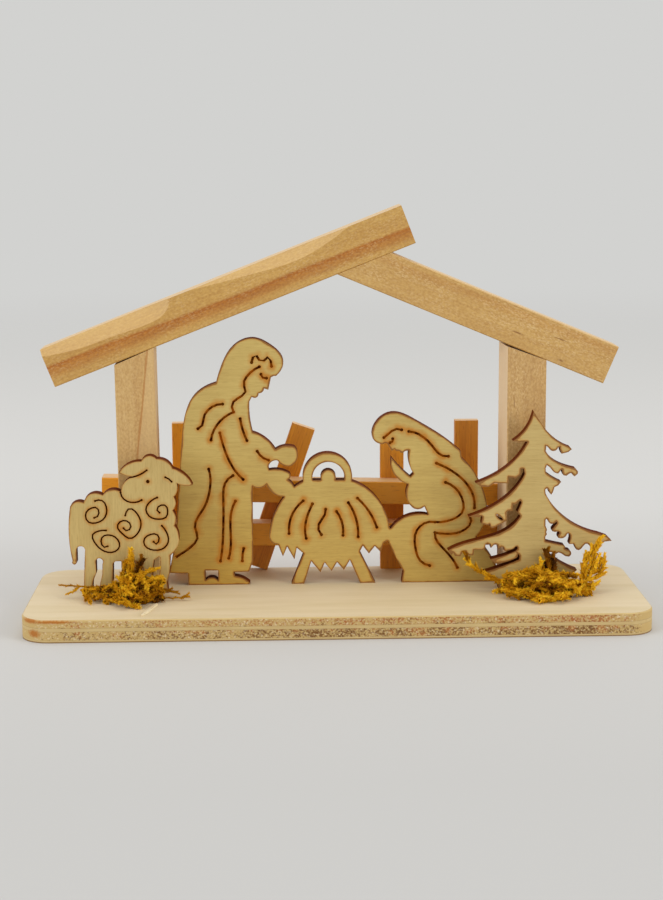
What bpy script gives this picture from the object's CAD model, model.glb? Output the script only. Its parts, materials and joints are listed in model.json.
"""Dresses a small wooden nativity stable: wood, laser-cut plywood and dried moss on its CAD frame."""

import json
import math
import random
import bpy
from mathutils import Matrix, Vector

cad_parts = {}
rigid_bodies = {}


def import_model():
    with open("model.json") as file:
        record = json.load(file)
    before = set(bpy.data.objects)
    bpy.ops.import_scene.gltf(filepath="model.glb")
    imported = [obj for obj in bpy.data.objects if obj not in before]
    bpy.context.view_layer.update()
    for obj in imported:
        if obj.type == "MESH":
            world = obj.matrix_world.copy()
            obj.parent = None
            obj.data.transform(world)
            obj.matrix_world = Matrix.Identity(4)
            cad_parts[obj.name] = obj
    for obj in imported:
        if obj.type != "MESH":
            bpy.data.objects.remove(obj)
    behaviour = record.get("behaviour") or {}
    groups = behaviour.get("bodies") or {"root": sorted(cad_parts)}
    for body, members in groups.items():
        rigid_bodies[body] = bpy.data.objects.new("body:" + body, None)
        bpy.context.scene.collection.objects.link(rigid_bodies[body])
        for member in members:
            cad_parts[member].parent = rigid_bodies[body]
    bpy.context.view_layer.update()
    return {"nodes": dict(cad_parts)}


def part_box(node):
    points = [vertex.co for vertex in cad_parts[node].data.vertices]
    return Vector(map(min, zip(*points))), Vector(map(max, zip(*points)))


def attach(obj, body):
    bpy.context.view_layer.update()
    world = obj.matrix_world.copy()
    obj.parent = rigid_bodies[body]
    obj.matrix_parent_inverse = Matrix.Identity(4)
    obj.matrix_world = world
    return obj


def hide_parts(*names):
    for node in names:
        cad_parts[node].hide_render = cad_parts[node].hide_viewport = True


bl_info = {
    "name": "Nativity stable",
    "version": (1, 0, 0),
    "blender": (4, 5, 0),
    "location": "3D View > Sidebar > Stable",
    "description": "Finishes the stable's board, battens, fence, silhouettes and moss",
    "category": "Object",
}

from functools import partial

import bmesh
import bpy
from bpy.props import FloatProperty, FloatVectorProperty, IntProperty, PointerProperty
from mathutils import Matrix, Vector, noise
from mathutils.geometry import intersect_point_line
from mathutils.kdtree import KDTree

for leftover in list(bpy.data.objects):
    bpy.data.objects.remove(leftover)
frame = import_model()

MM = 0.001
# Farthest distance from a burn that a silhouette notes, in millimetres
FAR = 5.0
# Step along a burnt line at which its distance is measured
BURN_STEP = 0.12 * MM
# Half the thickness of the silhouettes' plywood, in millimetres
HALF_PLY = 1.5
# Golden angle between leaves or strands of moss, in radians
SPIRAL = 2.4
# How the straw is turned on the board, in degrees
STRAW_TURN = 74.0
# Where the lamps aim, where the camera stands, and its yaw, pitch and roll in degrees
AIM = Vector((0.0, 0.0, 0.04))
CAMERA_PLACE = (-0.01222, -0.43347, 0.11693)
CAMERA_TURN = (1.492, 9.953, -0.343)
# Place of a strip of younger wood where a batten shows none
NO_STRIP = (-99.0, 0.0)

# Battens: the grain's climb in degrees, the pith's place across the batten and the width of a year
# in millimetres, how dark the late wood is, how much pale fleck the planed face shows, where its
# strip of younger wood begins (across, and lean along the grain), and how fresh its left side is.
BATTENS = {
    "left_post": dict(
        climb=90.5, pith=(30.0, 21.0), year=7.5, late=0.12, fleck=0.25, younger=(0.17, 0.124), fresh=0.0
    ),
    "right_post": dict(
        climb=90.0, pith=(26.0, -14.0), year=9.0, late=0.1, fleck=0.42, younger=NO_STRIP, fresh=0.85
    ),
    "left_rafter": dict(
        climb=20.8, pith=(0.0, -42.2), year=16.0, late=1.0, fleck=0.25, younger=NO_STRIP, fresh=0.0
    ),
    "right_rafter": dict(
        climb=-21.6, pith=(22.0, -30.0), year=8.0, late=0.3, fleck=0.45, younger=NO_STRIP, fresh=0.0
    ),
}
# Dark grain dashes and checks: along the batten, across it, half length and half width
DASHES = {
    "right_rafter": ((10.2, 0.3, 2.0, 0.25), (20.8, 2.6, 2.6, 0.22), (22.8, -2.2, 1.1, 0.35)),
    "right_post": ((15.6, 2.6, 1.4, 0.2),),
}
# Fence strips: the grain's climb in degrees and each strip's own tone
STRIPS = {
    "upper_rail": (-1.5, 1.4),
    "lower_rail": (-0.5, 1.05),
    "left_picket": (90.0, 1.2),
    "leaning_picket": (71.0, 0.45),
    "middle_picket": (90.0, 0.65),
    "right_picket": (90.0, 0.38),
}


def linear(colour):
    """An sRGB hex colour as linear red, green and blue, with alpha 1."""
    parts = [int(colour[i : i + 2], 16) / 255 for i in (1, 3, 5)]
    return (*[c / 12.92 if c <= 0.04045 else ((c + 0.055) / 1.055) ** 2.4 for c in parts], 1.0)


def paint(label, words, colour):
    """A colour that the user may change."""
    return FloatVectorProperty(
        name=label, description=words, subtype="COLOR", size=4, min=0.0, max=1.0, default=linear(colour)
    )


def length(label, words, millimetres):
    """A length that the user may change, in metres."""
    return FloatProperty(
        name=label,
        description=words,
        unit="LENGTH",
        subtype="DISTANCE",
        default=millimetres * MM,
        precision=5,
    )


class BoardSettings(bpy.types.PropertyGroup):
    """Plywood board"""

    veneer: paint("Veneer", "Sanded face of the board", "#e0ceab")
    veneer_grain: paint("Veneer grain", "Darker figure in the face", "#d3bf91")
    ply_edge: paint("Ply edge", "Sawn edge of the face plies and the middle ply", "#c8ad75")
    core: paint("Core", "Cut ends of the core plies", "#c4a566")
    pores: paint("Pores", "Dark pores in the core plies", "#704206")
    red_pores: paint("Red pores", "Reddish pores in the core plies", "#a35c22")
    scorch: paint("Scorch", "Burnt spots at the front left corner", "#b0680a")
    figure: length("Figure", "Width of the face's soft streaks", 4.0)
    pore: length("Pore", "Size of a pore in the core plies", 0.42)


class BattenSettings(bpy.types.PropertyGroup):
    """Pine battens of the posts and the rafters"""

    left_post: paint("Left post", "Pale wood of the left post", "#c59e62")
    right_post: paint("Right post", "Pale wood of the right post", "#bf965a")
    left_rafter: paint("Left rafter", "Pale wood of the left rafter", "#c3984f")
    right_rafter: paint("Right rafter", "Pale wood of the right rafter", "#c29855")
    late: paint("Late wood", "Dark wood at the year's end", "#a96414")
    fresh: paint("Fresh side", "Side that was planed last", "#e4c9a2")
    fleck: paint("Fleck", "Pale torn fibres on the planed face", "#dcbb85")
    dash: paint("Dash", "Dark dashes and the small knot", "#7d4a1c")
    fibre: length("Fibre", "Width of a fibre streak", 0.35)


class FenceSettings(bpy.types.PropertyGroup):
    """Stained strips of the fence"""

    pale: paint("Pale stain", "Stain where it took least", "#f2a524")
    deep: paint("Deep stain", "Stain where it took most", "#b0640a")
    bare: paint("Bare top", "Upper faces, sanded back to pale wood", "#ecc695")
    streak: length("Streak", "Width of a stained streak", 0.5)


class SilhouetteSettings(bpy.types.PropertyGroup):
    """Laser-cut plywood silhouettes"""

    face: paint("Face", "Face of the plywood", "#c1a55c")
    small_face: paint("Small face", "Face of the sheep and the tree", "#c1a666")
    fleck: paint("Fleck", "Fine dark flecks along the grain", "#98793a")
    toasted: paint("Toasted", "Orange halo beside a burnt line", "#b87408")
    charred: paint("Charred", "Dark rim of a burnt line", "#481f06")
    ember: paint("Ember", "Brown wood at the bottom of a burnt line", "#cc7a18")
    burnt: paint("Burnt", "Blackened wood at the bottom of a burnt line", "#5c2204")
    smoke: paint("Smoke", "Stain of the smoke at the panel's foot", "#f5e3a2")
    cut_edge: paint("Cut edge", "Browned wall of a cut", "#733106")
    cell: length("Cell", "Size of the facets that carry the burn", 0.5)


class MossSettings(bpy.types.PropertyGroup):
    """Dried moss"""

    shade: paint("Shade", "Old moss inside the clump", "#241004")
    old: paint("Old moss", "Brown lower leaves", "#8c5303")
    ripe: paint("Ripe moss", "Main ochre", "#cc9109")
    tip: paint("Tips", "Bright young tips", "#f8cc2c")
    shoot: length("Shoot", "Length of one shoot, and about the width of a strand", 1.5)
    strands: IntProperty(name="Strands", description="Strands in each clump", default=75, min=5, max=90)


class StrawSettings(bpy.types.PropertyGroup):
    """Sliver of straw"""

    straw: paint("Straw", "Pale side of the straw", "#efe3c2")
    streak: paint("Streak", "Streaks along the straw", "#c7a66a")


class StageSettings(bpy.types.PropertyGroup):
    """Floor, light and camera"""

    floor: paint("Floor", "Pale paper under the stable", "#cfcecb")
    backdrop: paint("Backdrop", "What the camera sees behind it", "#d2d2d0")
    ambient: FloatProperty(name="Ambient", description="Even light of the tent", default=0.64, min=0.0)
    key: FloatProperty(name="Key", description="Soft light from the right", unit="POWER", default=7.9)
    fill: FloatProperty(name="Fill", description="Soft light from the left", unit="POWER", default=7.0)
    top: FloatProperty(name="Top", description="Soft light from above", unit="POWER", default=3.2)
    lens: FloatProperty(name="Lens", description="Focal length", unit="CAMERA", default=72.0)


class StableSettings(bpy.types.PropertyGroup):
    """All settings of the stable"""

    board: PointerProperty(type=BoardSettings)
    battens: PointerProperty(type=BattenSettings)
    fence: PointerProperty(type=FenceSettings)
    silhouettes: PointerProperty(type=SilhouetteSettings)
    moss: PointerProperty(type=MossSettings)
    straw: PointerProperty(type=StrawSettings)
    stage: PointerProperty(type=StageSettings)


# What the nodes of a kind are set to here, unless told otherwise
USUAL = {"Mix": {"data_type": "RGBA"}}


def add(tree, kind, inputs=None, stops=(), **settings):
    """Adds a node with its settings. An input takes a value, an output of another node, or another
    node, and then its first output in use."""
    made = tree.nodes.new("ShaderNode" + kind)
    for name, value in {**USUAL.get(kind, {}), **settings}.items():
        setattr(made, name, value)
    for key, value in (inputs or {}).items():
        if isinstance(value, bpy.types.Node):
            value = next(output for output in value.outputs if output.enabled)
        if isinstance(value, bpy.types.NodeSocket):
            tree.links.new(value, made.inputs[key])
        else:
            made.inputs[key].default_value = value
    for number, (place, colour) in enumerate(stops):
        rest = made.color_ramp.elements
        stop = rest[number] if number < 2 else rest.new(place)
        stop.position = place
        stop.color = (colour, colour, colour, 1.0) if isinstance(colour, float) else colour
    return made


def blank(name):
    """A new material with an empty node tree, and the function that adds its nodes."""
    made = bpy.data.materials.new(name)
    made.use_nodes = True
    made.node_tree.nodes.clear()
    return made, partial(add, made.node_tree)


def along_grain(node, box, climb=0.0):
    """Object coordinates in millimetres from the piece's middle, with x along the grain."""
    place = node("TexCoord").outputs["Object"]
    middle = (box[0] + box[1]) / 2
    turn = (0.0, -math.radians(climb), 0.0)
    inputs = {"Vector": place, "Location": middle, "Rotation": turn, "Scale": (MM, MM, MM)}
    return node("Mapping", inputs, vector_type="TEXTURE")


def pattern(node, mm, size, detail=2.0):
    """Cloudy pattern with the given size along and across the grain, in millimetres."""
    scaled = node("VectorMath", {0: mm, 1: [1 / s for s in size]}, operation="MULTIPLY")
    return node("TexNoise", {"Vector": scaled, "Scale": 1.0, "Detail": detail})


def distance(node, mm, middle, weights):
    """Distance from the middle, with a weight on each axis."""
    away = node("VectorMath", {0: mm, 1: middle}, operation="SUBTRACT")
    away = node("VectorMath", {0: away, 1: weights}, operation="MULTIPLY")
    return node("VectorMath", {0: away}, operation="LENGTH")


def coated(made, node, colour, fine, rough, more):
    """Ends a material: its colour, a roughness that a fine pattern varies, and more of the shader."""
    rough = node("MapRange", {"Value": fine, "To Min": rough[0], "To Max": rough[1]})
    shader = node("BsdfPrincipled", {"Base Color": colour, "Roughness": rough, **more})
    node("OutputMaterial", {"Surface": shader})
    return made


def faced_plywood(name, box, look):
    """Five-ply board, rotary-cut pale veneer sanded smooth, sawn and sanded at the edges.

    The face shows long soft streaks; the edge shows plies, with open pores where a core ply is cut
    across and smooth streaks where it is cut along its grain."""
    made, node = blank(name)
    mm = along_grain(node, box)
    soft = pattern(node, mm, (34, look.figure / MM, 4), 3)
    fine = pattern(node, mm, (7, 0.35, 0.35), 3)
    figure = node("ValToRGB", {"Fac": soft}, stops=((0.35, 0.0), (0.75, 0.75)))
    face = node("Mix", {0: figure, 6: look.veneer, 7: look.veneer_grain})
    face = node("Mix", {0: 0.2, 6: face, 7: fine}, blend_type="SOFT_LIGHT")
    # Core plies run from front to back, so their pores are open at the front and long at the sides
    pore = look.pore / MM
    pores = pattern(node, mm, (pore, 7, pore * 0.9), 4)
    patches = pattern(node, mm, (9, 30, 40), 1)
    dense = node("Math", {0: patches, 1: 0.3, 2: pores}, operation="MULTIPLY_ADD")
    # The lower core has more pores, and both have fewer at the left end and where the corners turn
    split = node("SeparateXYZ", {0: mm})
    facing = node("SeparateXYZ", {0: node("NewGeometry").outputs["True Normal"]})
    ahead = node("Math", {0: facing.outputs["Y"]}, operation="ABSOLUTE")
    for value, low, high, gain in (
        (split.outputs["Z"], 0.5, -0.2, 0.045),
        (split.outputs["X"], -5.0, -72.0, -0.09),
        (ahead, 0.99, 0.75, -0.3),
    ):
        more = node("MapRange", {"Value": value, "From Min": low, "From Max": high, "To Max": gain})
        dense = node("Math", {0: dense, 1: more}, operation="ADD")
    holes = node("ValToRGB", {"Fac": dense}, stops=((0.59, 0.0), (0.81, 0.95)))
    # Some of the pores are reddish, those of the upper core most of all
    tint = pattern(node, mm, (3, 30, 3))
    tint = node("Math", {0: split.outputs["Z"], 1: 0.07, 2: tint}, operation="MULTIPLY_ADD")
    tint = node("ValToRGB", {"Fac": tint}, stops=((0.45, 0.0), (0.6, 1.0)))
    inside = node("Mix", {0: tint, 6: look.pores, 7: look.red_pores})
    # Between the pores the cut fibres are pale in places
    pale = pattern(node, mm, (pore * 1.3, 9, pore), 3)
    front = node("MapRange", {"Value": ahead, "From Min": 0.8, "To Min": -0.12, "To Max": 0.0})
    pale = node("Math", {0: pale, 1: front}, operation="ADD")
    pale = node("ValToRGB", {"Fac": pale}, stops=((0.52, 0.0), (0.68, 0.75)))
    core = node("Mix", {0: pale, 6: look.core, 7: look.veneer})
    core = node("Mix", {0: holes, 6: core, 7: inside})
    # Height of the plies from the underside up, as shares of the board's thickness
    thick = (box[1].z - box[0].z) / MM
    height = node("MapRange", {"Value": split.outputs["Z"], "From Min": -thick / 2, "From Max": thick / 2})
    cores = node("ValToRGB", {"Fac": height}, stops=(
        (0.1, 0.0), (0.975, 0.0), (0.12, 1.0), (0.48, 1.0), (0.5, 0.0), (0.625, 0.0), (0.645, 1.0),
        (0.95, 1.0),
    ))
    sawn = node("Mix", {0: 0.4, 6: look.ply_edge, 7: fine}, blend_type="SOFT_LIGHT")
    edge = node("Mix", {0: cores, 6: sawn, 7: core})
    glue = node("ValToRGB", {"Fac": height}, stops=(
        (0.0, 0.85), (0.66, 0.0), (0.035, 0.75), (0.06, 0.0), (0.47, 0.0), (0.49, 0.3), (0.505, 0.0),
        (0.62, 0.0), (0.64, 0.35),
    ))
    edge = node("Mix", {0: glue, 6: edge, 7: look.pores})
    # Burnt spots where the front left corner was sawn, the upper one drawn out along the face ply
    for middle, size in (
        ((-72.0, -22.8, 2.3), (2.6, 2.6, 0.6)),
        ((-67.0, -24.8, 2.3), (5.0, 2.0, 0.4)),
        ((-71.4, -23.8, -0.6), (1.6, 1.6, 0.9)),
    ):
        away = distance(node, mm, middle, [1 / s for s in size])
        spot = node("Math", {0: pores, 1: 1.2, 2: away}, operation="MULTIPLY_ADD")
        spot = node("MapRange", {"Value": spot, "From Min": 1.9, "From Max": 1.1, "To Max": 0.95})
        edge = node("Mix", {0: spot, 6: edge, 7: look.scorch})
    level = node("Math", {0: facing.outputs["Z"]}, operation="ABSOLUTE")
    flat = node("Math", {0: level, 1: 0.95}, operation="GREATER_THAN")
    colour = node("Mix", {0: flat, 6: edge, 7: face})
    sunk = node("Mix", {0: cores, 2: fine, 3: holes}, data_type="FLOAT")
    bump = node("Bump", {"Strength": 0.3, "Distance": 0.05 * MM, "Height": sunk}, invert=True)
    return coated(made, node, colour, fine, (0.5, 0.72), {"Normal": bump})


def planed_pine(name, box, batten, early, look, dashes):
    """Square pine batten, sawn, planed and lightly sanded.

    Years of growth show as bands along the grain and as arcs on the ends, over fine fibre streaks;
    a planer that tears the fibres leaves short pale flecks."""
    made, node = blank(name)
    mm = along_grain(node, box, batten["climb"])
    wander = pattern(node, mm, (42, 12, 12), 3)
    reach = distance(node, mm, (0.0, *batten["pith"]), (0.0, 1.0, 1.0))
    shifted = node("Math", {0: wander, 1: 2.2, 2: reach}, operation="MULTIPLY_ADD")
    years = node("Math", {0: shifted, 1: batten["year"]}, operation="DIVIDE")
    year = node("Math", {0: years}, operation="FRACT")
    late = node("ValToRGB", {"Fac": year}, stops=(
        (0.0, 0.02), (1.0, 0.02), (0.5, 0.08), (0.58, 0.6), (0.7, 1.0), (0.74, 0.15)
    ))
    fibre = look.fibre / MM
    streaks = pattern(node, mm, (9, fibre, fibre), 4)
    broad = pattern(node, mm, (26, 1.6, 1.6))
    share = node("Math", {0: late, 1: batten["late"]}, operation="MULTIPLY")
    wood = node("Mix", {0: share, 6: early, 7: look.late})
    # The cut ends of the fibres make the face grainy; drawn about twice as coarse, to show at all
    grains = pattern(node, mm, (0.7, 0.5, 0.5))
    for fibres, strength in ((broad, 0.3), (streaks, 0.3), (grains, 0.6)):
        wood = node("Mix", {0: strength, 6: wood, 7: fibres}, blend_type="SOFT_LIGHT")
    torn = pattern(node, mm, (0.6, 0.3, 0.3), 3)
    # A strip of younger wood is paler, and a torn dark ridge runs along it
    start, lean = batten["younger"]
    beside = node("VectorMath", {0: mm, 1: (lean, 0.0, 1.0)}, operation="DOT_PRODUCT")
    beside = node("Math", {0: broad, 1: 0.8, 2: beside}, operation="MULTIPLY_ADD")
    younger = node(
        "MapRange", {"Value": beside, "From Min": start + 0.5, "From Max": start + 0.2, "To Max": 0.34}
    )
    ridge = node("Math", {0: beside, 1: start + 0.55, 2: 0.25}, operation="COMPARE")
    ridge = node("Math", {0: ridge, 1: torn}, operation="MULTIPLY")
    # A whittled edge, between front and top, and the sides that the plane left fresh are paler
    facing = node("SeparateXYZ", {0: node("NewGeometry").outputs["True Normal"]})
    to_front = node("Math", {0: facing.outputs["Y"], 1: -0.25}, operation="LESS_THAN")
    to_top = node("Math", {0: facing.outputs["Z"], 1: 0.2}, operation="GREATER_THAN")
    whittled = node("Math", {0: to_front, 1: to_top}, operation="MULTIPLY")
    upward = node(
        "MapRange", {"Value": facing.outputs["Z"], "From Min": 0.85, "From Max": 0.9, "To Max": 0.7}
    )
    to_left = node("Math", {0: facing.outputs["X"], 1: -0.8}, operation="LESS_THAN")
    whittled = node("Math", {0: whittled, 1: 0.32}, operation="MULTIPLY")
    fresh = node("Math", {0: to_left, 1: batten["fresh"], 2: upward}, operation="MULTIPLY_ADD")
    flecks = node("ValToRGB", {"Fac": torn}, stops=((0.48, 0.0), (0.72, 1.0)))
    patches = pattern(node, mm, (14, 5, 5))
    fleck = batten["fleck"]
    rougher = node("MapRange", {
        "Value": patches, "From Min": 0.38, "From Max": 0.62, "To Min": fleck * 0.4, "To Max": fleck * 2
    })
    pale = node("Math", {0: flecks, 1: rougher}, operation="MULTIPLY")
    layers = [
        (younger, look.fleck),
        (ridge, look.late),
        (whittled, look.fleck),
        (fresh, look.fresh),
        (pale, look.fleck),
    ]
    for x, z, half_length, half_width in dashes:
        off = distance(node, mm, (x, 0.0, z), (1 / half_length, 0.0, 1 / half_width))
        dash = node("Math", {0: torn, 1: 0.9, 2: off}, operation="MULTIPLY_ADD")
        dash = node("MapRange", {"Value": dash, "From Min": 1.5, "From Max": 0.6, "To Max": 0.8})
        layers.append((dash, look.dash))
    for share, tint in layers:
        wood = node("Mix", {0: share, 6: wood, 7: tint})
    bump = node("Bump", {"Strength": 0.35, "Distance": 0.04 * MM, "Height": streaks})
    return coated(made, node, wood, streaks, (0.5, 0.7), {"Normal": bump})


def stained_strip(name, box, climb, tone, look):
    """Thin sawn softwood strip, dipped in a honey-brown stain.

    The stain gathers in the open fibres, so the strip shows deep streaks and short dark pores."""
    made, node = blank(name)
    mm = along_grain(node, box, climb)
    streak = look.streak / MM
    streaks = pattern(node, mm, (16, streak, streak), 4)
    broad = pattern(node, mm, (30, 3, 3))
    pores = pattern(node, mm, (1.8, 0.2, 0.2), 1)
    depth = node("Math", {0: streaks, 1: 0.9, 2: 0.15 - tone}, operation="MULTIPLY_ADD")
    depth = node("Math", {0: broad, 1: 0.7, 2: depth}, operation="MULTIPLY_ADD")
    stain = node("MapRange", {"Value": depth})
    wood = node("Mix", {0: stain, 6: look.pale, 7: look.deep})
    dark = node("ValToRGB", {"Fac": pores}, stops=((0.6, 0.0), (0.75, 0.35)))
    wood = node("Mix", {0: dark, 6: wood, 7: look.deep}, blend_type="MULTIPLY")
    facing = node("SeparateXYZ", {0: node("NewGeometry").outputs["True Normal"]})
    sanded = node(
        "MapRange", {"Value": facing.outputs["Z"], "From Min": 0.8, "From Max": 0.9, "To Max": 0.85}
    )
    wood = node("Mix", {0: sanded, 6: wood, 7: look.bare})
    bump = node("Bump", {"Strength": 0.3, "Distance": 0.04 * MM, "Height": streaks})
    return coated(made, node, wood, streaks, (0.42, 0.62), {"Normal": bump})


def laser_face(name, box, face, climb, reach, strength, charring, smoked, look):
    """Face of thin poplar plywood, cut and scored by a laser.

    The veneer is pale with fine flecks along its grain. Beside a burnt line it turns dark at the rim,
    then orange, and fades into the bare wood; the width of that halo wanders."""
    made, node = blank(name)
    mm = along_grain(node, box, climb)
    clouds = pattern(node, mm, (12, 9, 7))
    streaks = pattern(node, mm, (5, 1, 0.35), 3)
    # Flecks are real pores, a tenth of a millimetre wide, drawn twice as wide to show at all
    flecks = pattern(node, mm, (2, 0.5, 0.17))
    dark = node("ValToRGB", {"Fac": flecks}, stops=((0.55, 0.0), (0.7, 0.32)))
    wood = node("Mix", {0: dark, 6: face, 7: look.fleck})
    for fibres, strong in ((clouds, 0.3), (streaks, 0.35)):
        wood = node("Mix", {0: strong, 6: wood, 7: fibres}, blend_type="SOFT_LIGHT")
    # Smoke from the cut stains the lower part of a large panel
    rise = node("SeparateXYZ", {0: along_grain(node, box)})
    foot = (box[0].z - box[1].z) / MM / 2
    stain = node("MapRange", {
        "Value": rise.outputs["Z"], "From Min": -foot * 0.2, "From Max": foot, "To Max": smoked
    })
    side = node("MapRange", {
        "Value": rise.outputs["X"], "From Min": -35.0, "From Max": -5.0, "To Min": 1.15, "To Max": 0.5
    })
    stain = node("Math", {0: stain, 1: side}, operation="MULTIPLY")
    wood = node("Mix", {0: stain, 6: wood, 7: look.smoke}, blend_type="MULTIPLY")
    unsteady = pattern(node, mm, (3.4, 3.4, 3.4), 3)
    toast = look.toasted[:3]
    rim = [a * 0.6 + b * 0.4 for a, b in zip(look.charred, toast)]
    for from_burn, spread, start, deep, first in (
        ("from_score", reach, 1.0, strength, toast), ("from_cut", 0.36, charring, 0.6, rim)
    ):
        away = node("Attribute", attribute_name=from_burn)
        away = node(
            "Math", {0: unsteady, 1: spread * 2.2, 2: away.outputs["Fac"]}, operation="MULTIPLY_ADD"
        )
        away = node(
            "MapRange", {"Value": away, "From Min": spread * start, "From Max": spread * (start + 1.05)}
        )
        burn = node("ValToRGB", {"Fac": away}, stops=(
            (0.0, (*first, 0.9)), (1.0, (*toast, 0.0)), (0.14, (*toast, deep)), (0.5, (*toast, deep * 0.45))
        ))
        wood = node("Mix", {0: burn.outputs["Alpha"], 6: wood, 7: burn})
    bump = node("Bump", {"Strength": 0.25, "Distance": 0.04 * MM, "Height": streaks})
    return coated(made, node, wood, streaks, (0.48, 0.66), {"Normal": bump})


def laser_score(name, box, bared, look):
    """Burnt bottom and sides of a scored line: soot over brown wood, dull and a little uneven."""
    made, node = blank(name)
    mm = along_grain(node, box)
    soot = pattern(node, mm, (1.6, 1.6, 1.6), 3)
    colour = node("ValToRGB", {"Fac": soot}, stops=((bared - 0.25, look.burnt[:]), (bared, look.ember[:])))
    return coated(made, node, colour, soot, (0.7, 0.9), {"Specular IOR Level": 0.0})


def laser_edge(name, box, look):
    """Wall that the laser leaves through the plywood: browned, darker at the rims and at the glue
    lines, with fine stripes across the thickness from the pulsing beam."""
    made, node = blank(name)
    mm = along_grain(node, box)
    stripes = pattern(node, mm, (0.4, 4, 0.4))
    patches = pattern(node, mm, (5, 3, 5))
    split = node("SeparateXYZ", {0: mm})
    depth = node("MapRange", {"Value": split.outputs["Y"], "From Min": -HALF_PLY, "From Max": HALF_PLY})
    plies = node("ValToRGB", {"Fac": depth}, stops=(
        (0.0, 0.8), (1.0, 0.8), (0.1, 0.35), (0.3, 0.3), (0.35, 0.75), (0.4, 0.5), (0.62, 0.5),
        (0.66, 0.75), (0.72, 0.3), (0.9, 0.35),
    ))
    burnt = node("Math", {0: stripes, 1: 0.8, 2: -0.4}, operation="MULTIPLY_ADD")
    burnt = node("Math", {0: patches, 1: 0.7, 2: burnt}, operation="MULTIPLY_ADD")
    burnt = node("Math", {0: plies, 1: burnt}, operation="ADD")
    burnt = node("MapRange", {"Value": burnt, "From Min": 0.3, "From Max": 1.6})
    colour = node("Mix", {0: burnt, 6: look.cut_edge, 7: look.charred})
    return coated(made, node, colour, stripes, (0.6, 0.85), {"Specular IOR Level": 0.05})


def dried_moss(name, box, look):
    """Dried feather moss: thin dull leaves on soft stems.

    Tips are bright ochre, lower leaves brown, and the inside of the clump almost black."""
    made, node = blank(name)
    mm = along_grain(node, box)
    tone = node("Attribute", attribute_name="tone")
    patches = pattern(node, mm, (3, 3, 3))
    mixed = node("Math", {0: patches, 1: 0.5, 2: -0.25}, operation="MULTIPLY_ADD")
    mixed = node("Math", {0: tone.outputs["Fac"], 1: mixed}, operation="ADD")
    colour = node("ValToRGB", {"Fac": mixed}, stops=(
        (0.08, look.shade[:]), (0.95, look.tip[:]), (0.3, look.old[:]), (0.62, look.ripe[:])
    ))
    return coated(made, node, colour, patches, (0.55, 0.8), {"Specular IOR Level": 0.1})


def split_straw(name, box, climb, look):
    """Split straw: a glossy pale skin with fine streaks along it."""
    made, node = blank(name)
    mm = along_grain(node, box)
    turned = node("Mapping", {"Vector": mm, "Rotation": (0.0, 0.0, -math.radians(climb))})
    streaks = pattern(node, turned, (6, 0.18, 0.3))
    lines = node("ValToRGB", {"Fac": streaks}, stops=((0.45, 0.0), (0.75, 0.8)))
    colour = node("Mix", {0: lines, 6: look.straw, 7: look.streak})
    return coated(made, node, colour, streaks, (0.3, 0.5), {})


def smooth_mesh(bm, name, sharp):
    """A mesh from the bmesh, smooth but for edges sharper than the angle in degrees."""
    mesh = bpy.data.meshes.new(name)
    bm.to_mesh(mesh)
    bm.free()
    # The loaded normals belong to the loose triangles, not to the merged ones
    loaded = mesh.attributes.get("custom_normal")
    if loaded:
        mesh.attributes.remove(loaded)
    mesh.shade_smooth()
    mesh.set_sharp_from_angle(angle=math.radians(sharp))
    return mesh


def placed(context, name, data):
    """A new object in the scene."""
    made = bpy.data.objects.new(name, data)
    context.scene.collection.objects.link(made)
    return made


def seat(context, mesh, node):
    """Puts the mesh into the scene as an object that stands for a CAD node."""
    piece = placed(context, mesh.name, mesh)
    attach(piece, "root")
    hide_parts(node)


def merged_copy(node):
    """A bmesh of a CAD node with its loose triangles merged."""
    bm = bmesh.new()
    bm.from_mesh(frame["nodes"][node].data)
    bmesh.ops.remove_doubles(bm, verts=bm.verts, dist=0.001 * MM)
    return bm


class STABLE_OT_board(bpy.types.Operator):
    """Finish the plywood board"""

    bl_idname = "stable.board"
    bl_label = "Board"

    def execute(self, context):
        look = context.scene.stable.board
        mesh = smooth_mesh(merged_copy("base_board"), "plywood_board", sharp=30)
        mesh.materials.append(faced_plywood("faced_plywood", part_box("base_board"), look))
        seat(context, mesh, "base_board")
        return {"FINISHED"}


class STABLE_OT_battens(bpy.types.Operator):
    """Finish the posts and the rafters"""

    bl_idname = "stable.battens"
    bl_label = "Posts and rafters"

    def execute(self, context):
        look = context.scene.stable.battens
        for node, batten in BATTENS.items():
            early = getattr(look, node)
            pine = planed_pine(
                "planed_pine_" + node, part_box(node), batten, early, look, DASHES.get(node, ())
            )
            mesh = smooth_mesh(merged_copy(node), node + "_batten", sharp=12)
            mesh.materials.append(pine)
            seat(context, mesh, node)
        return {"FINISHED"}


class STABLE_OT_fence(bpy.types.Operator):
    """Finish the fence's rails and pickets"""

    bl_idname = "stable.fence"
    bl_label = "Fence"

    def execute(self, context):
        look = context.scene.stable.fence
        for node, (climb, tone) in STRIPS.items():
            stained = stained_strip("stained_" + node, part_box(node), climb, tone, look)
            frame["nodes"][node].material_slots[0].material = stained
        return {"FINISHED"}


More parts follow.
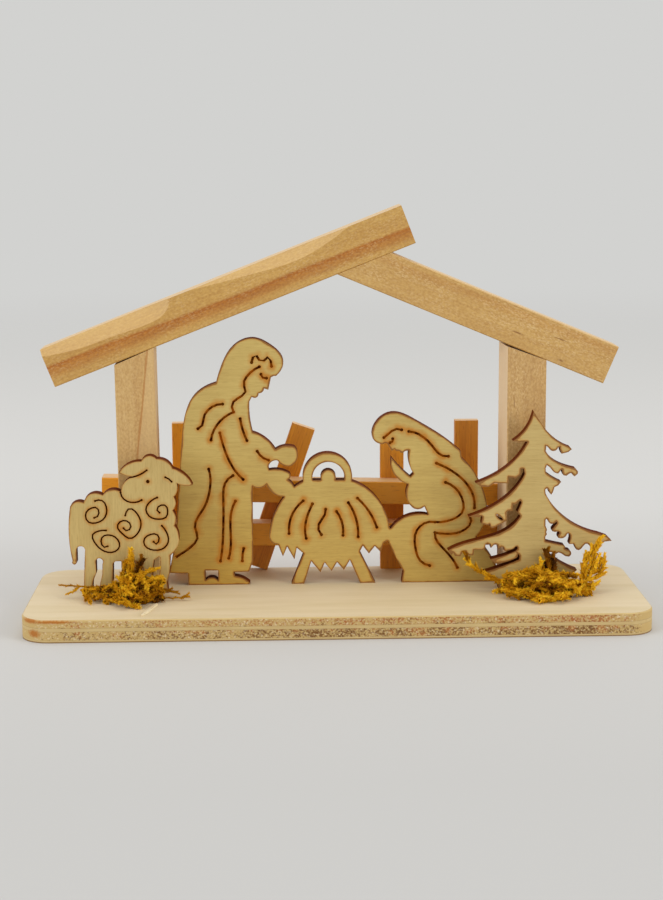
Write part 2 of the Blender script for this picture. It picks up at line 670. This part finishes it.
def slice_cells(bm, faces, axis, low, high, cell):
    """Cuts the faces along one axis into strips no wider than a cell, and returns the faces."""
    if not faces or high - low <= 1:
        return faces
    middle = (low + high) // 2
    normal = Vector((0.0, 0.0, 0.0))
    normal[axis] = 1.0
    at = normal * (middle * cell)
    # Dictionaries keep the order, so every run cuts the same facets
    edges = dict.fromkeys(edge for face in faces for edge in face.edges)
    verts = dict.fromkeys(vert for face in faces for vert in face.verts)
    cut = bmesh.ops.bisect_plane(
        bm, geom=[*verts, *edges, *faces], dist=0.0005 * MM, plane_co=at, plane_no=normal
    )
    parts = [part for part in cut["geom"] if isinstance(part, bmesh.types.BMFace)]
    below = [face for face in parts if face.calc_center_median()[axis] < at[axis]]
    above = [face for face in parts if face.calc_center_median()[axis] >= at[axis]]
    sliced = slice_cells(bm, below, axis, low, middle, cell)
    return sliced + slice_cells(bm, above, axis, middle, high, cell)


def into_cells(bm, faces, cell):
    """Cuts flat upright faces into square cells."""
    for axis in (0, 2):
        places = [vert.co[axis] / cell for face in faces for vert in face.verts]
        faces = slice_cells(bm, faces, axis, math.floor(min(places)), math.ceil(max(places)), cell)


def points_along(edges, step):
    """Points on the edges, no further apart than the step, in a tree for finding the nearest."""
    points = []
    for edge in edges:
        start, end = edge.verts[0].co, edge.verts[1].co
        count = max(1, math.ceil((end - start).length / step))
        points += [start.lerp(end, n / count) for n in range(count + 1)]
    tree = KDTree(len(points))
    for number, point in enumerate(points):
        tree.insert(point, number)
    tree.balance()
    return tree


def silhouette(context, node, name, climb, reach, strength, charring, smoked=0.0):
    """Builds a silhouette on its CAD node, with the distance from each burnt line on its faces."""
    look = context.scene.stable.silhouettes
    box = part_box(node)
    front, back = box[0].y, box[1].y
    near = 0.01 * MM
    bm = merged_copy(node)

    def on_plane(face, plane):
        return all(abs(vert.co.y - plane) < near for vert in face.verts)

    # Walls cut right through, followed forwards from the back rim; what is left is the scored lines
    bm.normal_update()
    through = {f for f in bm.faces if abs(f.normal.y) < 0.5 and any(v.co.y > back - near for v in f.verts)}
    ahead = list(through)
    while ahead:
        for edge in ahead.pop().edges:
            if abs((edge.verts[1].co - edge.verts[0].co).normalized().y) < 0.99:
                more = [f for f in edge.link_faces if f not in through and abs(f.normal.y) < 0.5]
                through.update(more)
                ahead += more
    faces = {side: [f for f in bm.faces if on_plane(f, side)] for side in (front, back)}
    walls = {}
    for side, flat in faces.items():
        inside = set(flat)
        rim = [e for f in flat for e in f.edges if any(g not in inside for g in e.link_faces)]
        scored, cut = [], []
        for edge in rim:
            wall = next(g for g in edge.link_faces if g not in inside)
            (cut if wall in through else scored).append(edge)
        walls[side] = (points_along(scored, BURN_STEP) if scored else None, points_along(cut, BURN_STEP))
    for face in bm.faces:
        flat = on_plane(face, front) or on_plane(face, back)
        face.material_index = 0 if flat else 2 if face in through else 1
    for side, flat in faces.items():
        inside = set(flat)
        seams = dict.fromkeys(e for f in flat for e in f.edges if all(g in inside for g in e.link_faces))
        bmesh.ops.dissolve_limit(bm, angle_limit=math.radians(0.5), edges=list(seams), verts=[])
        flat = [f for f in bm.faces if on_plane(f, side)]
        into_cells(bm, flat, look.cell if side == front else look.cell * 2)
    from_score = bm.verts.layers.float.new("from_score")
    from_cut = bm.verts.layers.float.new("from_cut")
    for vert in bm.verts:
        side = front if abs(vert.co.y - front) < abs(vert.co.y - back) else back
        scored, cut = walls[side]
        vert[from_score] = min(FAR, scored.find(vert.co)[2] / MM) if scored else FAR
        vert[from_cut] = min(FAR, cut.find(vert.co)[2] / MM)
    mesh = smooth_mesh(bm, name, sharp=35)
    face = look.face if smoked else look.small_face
    burn = (reach, strength, charring, smoked)
    mesh.materials.append(laser_face("laser_face_" + node, box, face, climb, *burn, look))
    bared = 0.6 if smoked else 0.78
    mesh.materials.append(laser_score("laser_score_" + node, box, bared, look))
    mesh.materials.append(laser_edge("laser_edge_" + node, box, look))
    seat(context, mesh, node)


class STABLE_OT_figures(bpy.types.Operator):
    """Build the panel with the two figures and the crib"""

    bl_idname = "stable.figures"
    bl_label = "Figure panel"

    def execute(self, context):
        burn = dict(reach=1.2, strength=0.85, charring=1.8, smoked=1.0)
        silhouette(context, "figure_panel", "figures_and_crib", climb=0.0, **burn)
        return {"FINISHED"}


class STABLE_OT_animal_and_tree(bpy.types.Operator):
    """Build the sheep and the fir tree"""

    bl_idname = "stable.animal_and_tree"
    bl_label = "Sheep and fir tree"

    def execute(self, context):
        burn = dict(reach=0.8, strength=0.6, charring=1.4)
        silhouette(context, "sheep", "sheep_cutout", climb=90.0, **burn)
        burn = dict(reach=1.0, strength=0.6, charring=1.95)
        silhouette(context, "fir_tree", "fir_tree_cutout", climb=0.0, **burn)
        return {"FINISHED"}


def moss_shoot(bm, tone):
    """A piece of a fuzzy rope, 1 long along +Z: a soft stem under many short leaves in a spiral."""
    stem = dict(segments=6, radius1=0.24, radius2=0.19, depth=1.0, matrix=Matrix.Translation((0, 0, 0.5)))
    made = bmesh.ops.create_cone(bm, **stem)["verts"]
    leaves = 40
    for number in range(leaves):
        leaf = bmesh.ops.create_grid(bm, x_segments=1, y_segments=1, size=0.5)["verts"]
        for vert in leaf:
            vert.co.x *= 1.0 if vert.co.y < 0 else 0.4
        long = 0.27 + 0.08 * math.sin(number * 1.9)
        turn = (
            Matrix.Translation((0, 0, number / (leaves - 1)))
            @ Matrix.Rotation(number * SPIRAL, 4, "Z")
            @ Matrix.Translation((0, 0.18, 0))
            @ Matrix.Rotation(math.radians(40 + 25 * math.sin(number * 2.7)), 4, "X")
            @ Matrix.Diagonal((0.17, long, 1, 1))
            @ Matrix.Translation((0, 0.5, 0))
        )
        bmesh.ops.transform(bm, matrix=turn, verts=leaf)
        made += leaf
    for vert in made:
        around = 1.9 * Vector((vert.co.x, vert.co.y, 0)).length
        vert[tone] = max(0.0, min(1.0, 0.1 * vert.co.z + 0.9 * around))


class Clump:
    """A clump of moss under construction, grown from copies of one shoot."""

    def __init__(self, seed, bare):
        self.random = random.Random(seed)
        self.bare = bare
        bm = bmesh.new()
        moss_shoot(bm, bm.verts.layers.float.new("tone"))
        self.shoot = bpy.data.meshes.new("moss_shoot")
        bm.to_mesh(self.shoot)
        bm.free()
        self.bm = bmesh.new()
        self.bm.verts.layers.float.new("tone")

    def tones(self):
        """The layer that holds the tone of each vertex."""
        return self.bm.verts.layers.float["tone"]

    def push(self, top):
        """A random push, weaker downwards, and upwards as strong as told."""
        chance = self.random
        return Vector((chance.uniform(-1, 1), chance.uniform(-1, 1), chance.uniform(-0.7, top)))

    def grow(self, root, way, size, bright):
        """Adds a shoot at the root, along the way, bent a little, with its own brightness."""
        chance = self.random
        share = max(0.0, min(1.0, intersect_point_line(root, *self.bare)[1]))
        room = size + 0.8 * MM
        if (root - self.bare[0].lerp(self.bare[1], share)).length < room:
            return
        first = len(self.bm.verts)
        self.bm.from_mesh(self.shoot)
        tone = self.tones()
        bend = Vector((chance.uniform(-0.45, 0.45), chance.uniform(-0.45, 0.45), 0))
        turn = way.to_track_quat("Z", "Y").to_matrix().to_4x4()
        spin = Matrix.Rotation(chance.uniform(0, math.tau), 4, "Z")
        place = Matrix.Translation(root) @ turn @ spin @ Matrix.Scale(size, 4)
        for vert in self.bm.verts[first:]:
            vert.co = place @ (vert.co + bend * vert.co.z * vert.co.z)
            vert[tone] = bright - 0.05 + 0.52 * vert[tone]

    def strand(self, path, size, bright):
        """A fuzzy rope of moss along the path, with a loose shoot here and there."""
        chance = self.random
        for start, end in zip(path, path[1:]):
            forward = (end - start).normalized()
            count = max(1, round((end - start).length / (size * 0.45)))
            for number in range(count):
                root = start.lerp(end, number / count)
                aside = self.push(1.0)
                tone = bright + chance.uniform(-0.12, 0.14)
                self.grow(
                    root, (forward + aside * 0.2).normalized(), size * chance.uniform(0.75, 1.15), tone
                )
                if chance.random() < 0.4:
                    self.grow(root, (forward + aside * 1.6).normalized(), size * 0.5, tone + 0.1)
        self.grow(path[-1], forward, size * 0.8, bright + 0.1)

    def heap(self, middle, reach, count, size, unruly, fresh):
        """Lays strands over a low dome, mostly along its length; those deep inside stay dark."""
        chance = self.random
        core = bmesh.ops.create_icosphere(self.bm, subdivisions=3, radius=1.0)["verts"]
        tone = self.tones()
        for vert in core:
            vert[tone] = 0.2
            lump = 0.5 + 0.2 * noise.noise(vert.co * 2.1 + Vector((middle.x * 900, 0, 0)))
            vert.co = middle + vert.co * reach * lump
        for number in range(count):
            layer = chance.uniform(0.6, 1.0)
            rise = max(0.06, ((number + 0.5) / count) ** 0.65)
            around = number * SPIRAL + chance.uniform(-0.4, 0.4)
            flat = math.sqrt(1 - rise * rise)
            side = Vector((flat * math.cos(around), flat * math.sin(around), rise))
            turn = chance.uniform(-unruly, unruly) + chance.choice((0.0, math.pi))
            way = Vector((math.cos(turn), math.sin(turn), chance.uniform(-0.3, 0.4)))
            path = []
            for _ in range(chance.randint(5, 8)):
                lump = 0.9 + 0.45 * noise.noise(side * 2.3 + Vector((middle.x * 700, 0, 0)))
                out = side * reach * layer * lump
                path.append(middle + out + Vector((0.0, 0.0, 0.5 * MM)))
                side = (side + way * 0.15).normalized()
                side.z = max(side.z, 0.05)
                way += self.push(0.7) * 0.4
            bright = fresh + 0.8 * (layer - 0.5) + chance.uniform(-0.22, 0.3)
            self.strand(path, size, bright)

    def finish(self, name, ground, wall):
        """The clump's mesh, kept above the board and in front of the silhouette."""
        bpy.data.meshes.remove(self.shoot)
        for vert in self.bm.verts:
            vert.co.z = max(vert.co.z, ground + 0.05 * MM)
            vert.co.y = min(vert.co.y, wall - 0.1 * MM)
        mesh = bpy.data.meshes.new(name)
        self.bm.to_mesh(mesh)
        self.bm.free()
        return mesh


# Sprigs that stand out of the clumps: points in millimetres, length of their shoots and tone
LEFT_SPRIGS = (
    (((-54, -4.4, 8.3), (-60, -4.4, 8.2), (-64, -4.5, 8.6), (-67.4, -4.6, 8.9)), 0.75, 0.3),
    (((-63, -4.6, 8.2), (-64.4, -4.8, 7.2), (-65.8, -5, 6.8)), 0.8, 0.5),
    (((-62.5, -5, 7.6), (-61, -6.5, 8), (-59, -7, 8.4), (-57, -6.5, 8.8), (-55.5, -6, 8.6)), 1.5, 0.5),
    (((-61.6, -6, 7.4), (-60.8, -8.5, 6.7), (-59.8, -10.5, 6.4)), 1.4, 0.45),
    (((-59, -9.5, 6.4), (-57, -9.8, 7), (-55, -9.8, 7.4), (-53.4, -10, 7)), 1.4, 0.25),
    (((-58.6, -6, 8), (-56.6, -7.8, 8.4), (-54.6, -7.6, 8.8), (-53.6, -6.6, 9.4)), 1.5, 0.55),
    (((-57, -8, 6.4), (-55, -11, 6.6), (-53.4, -12.6, 6.6)), 1.5, 0.5),
    (((-60.5, -4, 7), (-57.5, -4, 7.4), (-54.5, -4, 8)), 1.3, 0.2),
    (((-51.2, -2.8, 9), (-50.8, -2.8, 12.4), (-50.4, -2.8, 15.8)), 2.1, 0.55),
    (((-50.4, -3.2, 9), (-50, -3.2, 12), (-49.9, -3, 14.6)), 2.1, 0.5),
    (((-53.2, -2.6, 8.6), (-52.4, -2.6, 11.4), (-51.6, -2.6, 13.6)), 1.6, 0.35),
    (((-48.4, -2.2, 9.5), (-48.2, -2.2, 12), (-47.8, -2.2, 14)), 2.3, 0.12),
    (((-47, -3, 11.4), (-45.4, -3, 12.2), (-44, -3, 12.4)), 1.1, 0.55),
    (((-45, -4.4, 7.4), (-42, -4.4, 7.2), (-39.4, -4.6, 6.7)), 1.3, 0.25),
    (((-43.6, -8, 6.2), (-40, -8.2, 6.2), (-37.4, -8.4, 6.3)), 0.65, 0.3),
    (((-37.8, -8.4, 6.3), (-36.6, -8.4, 6.9)), 1.2, 0.2),
    (((-62, -5.4, 7), (-60.2, -5.8, 7.6), (-58.4, -6.2, 7.4), (-56.6, -6.8, 7.8)), 1.7, 0.6),
    (((-61.4, -7, 6.6), (-59.4, -7.6, 7), (-57.4, -8.2, 7), (-55.6, -8.6, 7.2)), 1.7, 0.5),
    (((-57.6, -6.4, 7), (-56.2, -7.4, 7.8), (-55.2, -8.2, 7.6)), 2, -0.1),
    (((-56.4, -9.4, 6.8), (-54.6, -9.8, 7.2), (-53, -10, 7)), 1.8, -0.06),
)
RIGHT_SPRIGS = (
    (((44, -4, 7.6), (40, -3.4, 8.4), (37, -3, 9.6), (34.6, -3, 11), (32.6, -3, 13)), 1.7, 0.55),
    (((44, -4.8, 7.2), (40.4, -4, 8), (37.6, -3.4, 9.2)), 1.8, 0.5),
    (((32.6, -3, 12.8), (31.8, -3, 14.8)), 1.6, 0.1),
    (((60.8, -4, 8.6), (61.4, -4, 13), (63, -4, 16.2), (64.8, -4, 18.8)), 1.6, 0.72),
    (((61.4, -4.4, 8.6), (62.2, -4.4, 12.6), (63.4, -4.4, 15.4), (64.6, -4.2, 17.6)), 1.5, 0.7),
    (((60.4, -4.2, 9), (60.7, -4.2, 12.4), (61.2, -4.2, 14.8)), 1.5, 0.62),
    (((62.2, -4, 8.8), (63, -4, 12), (63.6, -4, 15.2)), 1.6, 0.74),
    (((62, -4.8, 9), (63.6, -4.8, 11.6), (64.4, -4.8, 14.2)), 1.6, 0.7),
    (((62.8, -4.4, 8.8), (64.6, -4.4, 9.8), (65.6, -4.4, 11.8), (65.8, -4.4, 14)), 1.6, 0.72),
    (((62.6, -4, 9.6), (64.4, -4, 10.8), (65, -4, 13)), 1.5, 0.65),
    (((61.5, -5, 9), (63.6, -5, 8.8), (65.2, -5, 10.2)), 1.5, 0.7),
    (((59, -9, 6.8), (61.4, -7.6, 7), (63.4, -6.6, 7.8)), 1.7, 0.55),
    (((50.3, -3.4, 9.5), (50.3, -3.4, 12.6)), 1.7, 0.6),
    (((52.7, -2.2, 10), (52.6, -2.2, 12.4), (52.1, -2.2, 14.6)), 2.4, 0.1),
    (((53.8, -2.4, 9.6), (53.8, -2.4, 11.6), (53.6, -2.4, 13.2)), 2.4, 0.02),
    (((52.2, -2.4, 9.6), (52, -2.4, 11.8)), 2.2, 0.02),
)


class STABLE_OT_moss(bpy.types.Operator):
    """Grow the two clumps of dried moss"""

    bl_idname = "stable.moss"
    bl_label = "Moss"

    def execute(self, context):
        look = context.scene.stable.moss
        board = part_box("base_board")[1].z
        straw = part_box("straw_sliver")
        # Shares of the clump's box: the heap's middle and how far it reaches, across, forwards and up
        for node, panel, seed, middle, reach, unruly, fresh, sprigs in (
            ("left_moss", "sheep", 11, (0.66, 0.42), (0.3, 0.7, 1.0), 1.2, 0.02, LEFT_SPRIGS),
            ("right_moss", "fir_tree", 23, (0.48, 0.42), (0.49, 0.6, 0.84), 0.5, 0.14, RIGHT_SPRIGS),
        ):
            low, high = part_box(node)
            wide, deep, tall = high - low
            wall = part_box(panel)[0].y
            clump = Clump(seed, straw)
            middle = Vector((low.x + wide * middle[0], high.y - deep * middle[1], low.z))
            reach = Vector((wide * reach[0], deep * reach[1], tall * reach[2]))
            clump.heap(middle, reach, look.strands, look.shoot, unruly, fresh)
            for points, size, bright in sprigs:
                clump.strand([Vector(point) * MM for point in points], size * MM, bright)
            mesh = clump.finish(node + "_clump", board, wall)
            mesh.materials.append(dried_moss("dried_moss_" + node, (low, high), look))
            seat(context, mesh, node)
        return {"FINISHED"}


class STABLE_OT_straw(bpy.types.Operator):
    """Finish the sliver of straw"""

    bl_idname = "stable.straw"
    bl_label = "Straw"

    def execute(self, context):
        straw = split_straw("split_straw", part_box("straw_sliver"), STRAW_TURN, context.scene.stable.straw)
        frame["nodes"]["straw_sliver"].material_slots[0].material = straw
        return {"FINISHED"}


def paper_floor(look):
    """Matt white paper sweep: no pattern but a faint tooth, fading into the backdrop far away."""
    made, node = blank("paper_floor")
    place = node("TexCoord")
    tooth = node("TexNoise", {"Vector": place.outputs["Object"], "Scale": 900.0})
    bump = node("Bump", {"Strength": 0.1, "Distance": 0.02 * MM, "Height": tooth})
    # The sweep gets a little less light towards the camera
    split = node("SeparateXYZ", {0: place.outputs["Object"]})
    lit = node("MapRange", {
        "Value": split.outputs["Y"], "From Min": -0.12, "From Max": 0.12, "To Min": 0.91, "To Max": 1.06
    })
    sweep = node("Mix", {0: 1.0, 6: look.floor, 7: lit}, blend_type="MULTIPLY")
    paper = node("BsdfDiffuse", {"Color": sweep, "Normal": bump})
    away = node("VectorMath", {0: place.outputs["Object"]}, operation="LENGTH")
    far = node(
        "MapRange", {"Value": away, "From Min": 0.3, "From Max": 1.0}, interpolation_type="SMOOTHSTEP"
    )
    clear = node("BsdfTransparent")
    shader = node("MixShader", {0: far, 1: paper, 2: clear})
    node("OutputMaterial", {"Surface": shader})
    return made


def softbox(context, name, place, size, power):
    """A square lamp at the place, turned to the stable."""
    lamp = bpy.data.lights.new(name, "AREA")
    lamp.shape = "SQUARE"
    lamp.size = size
    lamp.energy = power
    made = placed(context, name, lamp)
    made.location = place
    made.rotation_euler = (AIM - Vector(place)).to_track_quat("-Z", "Y").to_euler()


class STABLE_OT_stage(bpy.types.Operator):
    """Set up the floor, the light and the camera"""

    bl_idname = "stable.stage"
    bl_label = "Stage"

    def execute(self, context):
        look = context.scene.stable.stage
        bm = bmesh.new()
        bmesh.ops.create_grid(bm, x_segments=1, y_segments=1, size=1.2)
        mesh = bpy.data.meshes.new("paper_floor")
        bm.to_mesh(mesh)
        bm.free()
        mesh.materials.append(paper_floor(look))
        floor = placed(context, "paper_floor", mesh)

        world = bpy.data.worlds.new("light_tent")
        context.scene.world = world
        world.use_nodes = True
        world.node_tree.nodes.clear()
        node = partial(add, world.node_tree)
        tent = node("Background", {"Color": (1.0, 1.0, 1.0, 1.0), "Strength": look.ambient})
        seen = node("Background", {"Color": look.backdrop, "Strength": 1.0})
        ray = node("LightPath")
        shown = ray.outputs["Is Camera Ray"]
        for kind in ("Is Glossy Ray", "Is Transmission Ray"):
            shown = node("Math", {0: shown, 1: ray.outputs[kind]}, operation="MAXIMUM")
        mixed = node("MixShader", {0: shown, 1: tent, 2: seen})
        node("OutputWorld", {"Surface": mixed})

        softbox(context, "key_softbox", (1.15, -0.72, 0.5), 0.7, look.key)
        softbox(context, "fill_softbox", (-1.2, -0.5, 0.5), 0.8, look.fill)
        softbox(context, "top_softbox", (0.0, 0.15, 1.1), 0.9, look.top)

        lens = bpy.data.cameras.new("photo_camera")
        lens.sensor_fit = "VERTICAL"
        lens.sensor_height = 36.0
        lens.lens = look.lens
        lens.clip_start = 0.01
        camera = placed(context, "photo_camera", lens)
        yaw, pitch, roll = (math.radians(a) for a in CAMERA_TURN)
        forward = Vector(
            (math.sin(yaw) * math.cos(pitch), math.cos(yaw) * math.cos(pitch), -math.sin(pitch))
        )
        right = Vector((math.cos(yaw), -math.sin(yaw), 0.0))
        up = right.cross(forward)
        turned_right = right * math.cos(roll) + up * math.sin(roll)
        turned_up = up * math.cos(roll) - right * math.sin(roll)
        turn = Matrix((turned_right, turned_up, -forward)).transposed()
        camera.matrix_world = Matrix.Translation(CAMERA_PLACE) @ turn.to_4x4()
        context.scene.camera = camera
        context.scene.view_settings.view_transform = "Standard"
        return {"FINISHED"}


class STABLE_PT_pieces(bpy.types.Panel):
    """Lists the stable's pieces"""

    bl_idname = "STABLE_PT_pieces"
    bl_label = "Nativity stable"
    bl_space_type = "VIEW_3D"
    bl_region_type = "UI"
    bl_category = "Stable"

    def draw(self, context):
        for maker in MAKERS:
            self.layout.operator(maker.bl_idname)


MAKERS = (
    STABLE_OT_board,
    STABLE_OT_battens,
    STABLE_OT_fence,
    STABLE_OT_figures,
    STABLE_OT_animal_and_tree,
    STABLE_OT_moss,
    STABLE_OT_straw,
    STABLE_OT_stage,
)
CLASSES = (
    BoardSettings,
    BattenSettings,
    FenceSettings,
    SilhouetteSettings,
    MossSettings,
    StrawSettings,
    StageSettings,
    StableSettings,
    *MAKERS,
    STABLE_PT_pieces,
)


def register():
    for kind in CLASSES:
        bpy.utils.register_class(kind)
    bpy.types.Scene.stable = PointerProperty(type=StableSettings)


def unregister():
    del bpy.types.Scene.stable
    for kind in reversed(CLASSES):
        bpy.utils.unregister_class(kind)


def main():
    """Registers the classes, makes every piece and the stage, and notes the sizes."""
    register()
    bpy.ops.stable.board()
    bpy.ops.stable.battens()
    bpy.ops.stable.fence()
    bpy.ops.stable.figures()
    bpy.ops.stable.animal_and_tree()
    bpy.ops.stable.moss()
    bpy.ops.stable.straw()
    bpy.ops.stable.stage()


if __name__ == "__main__":
    main()
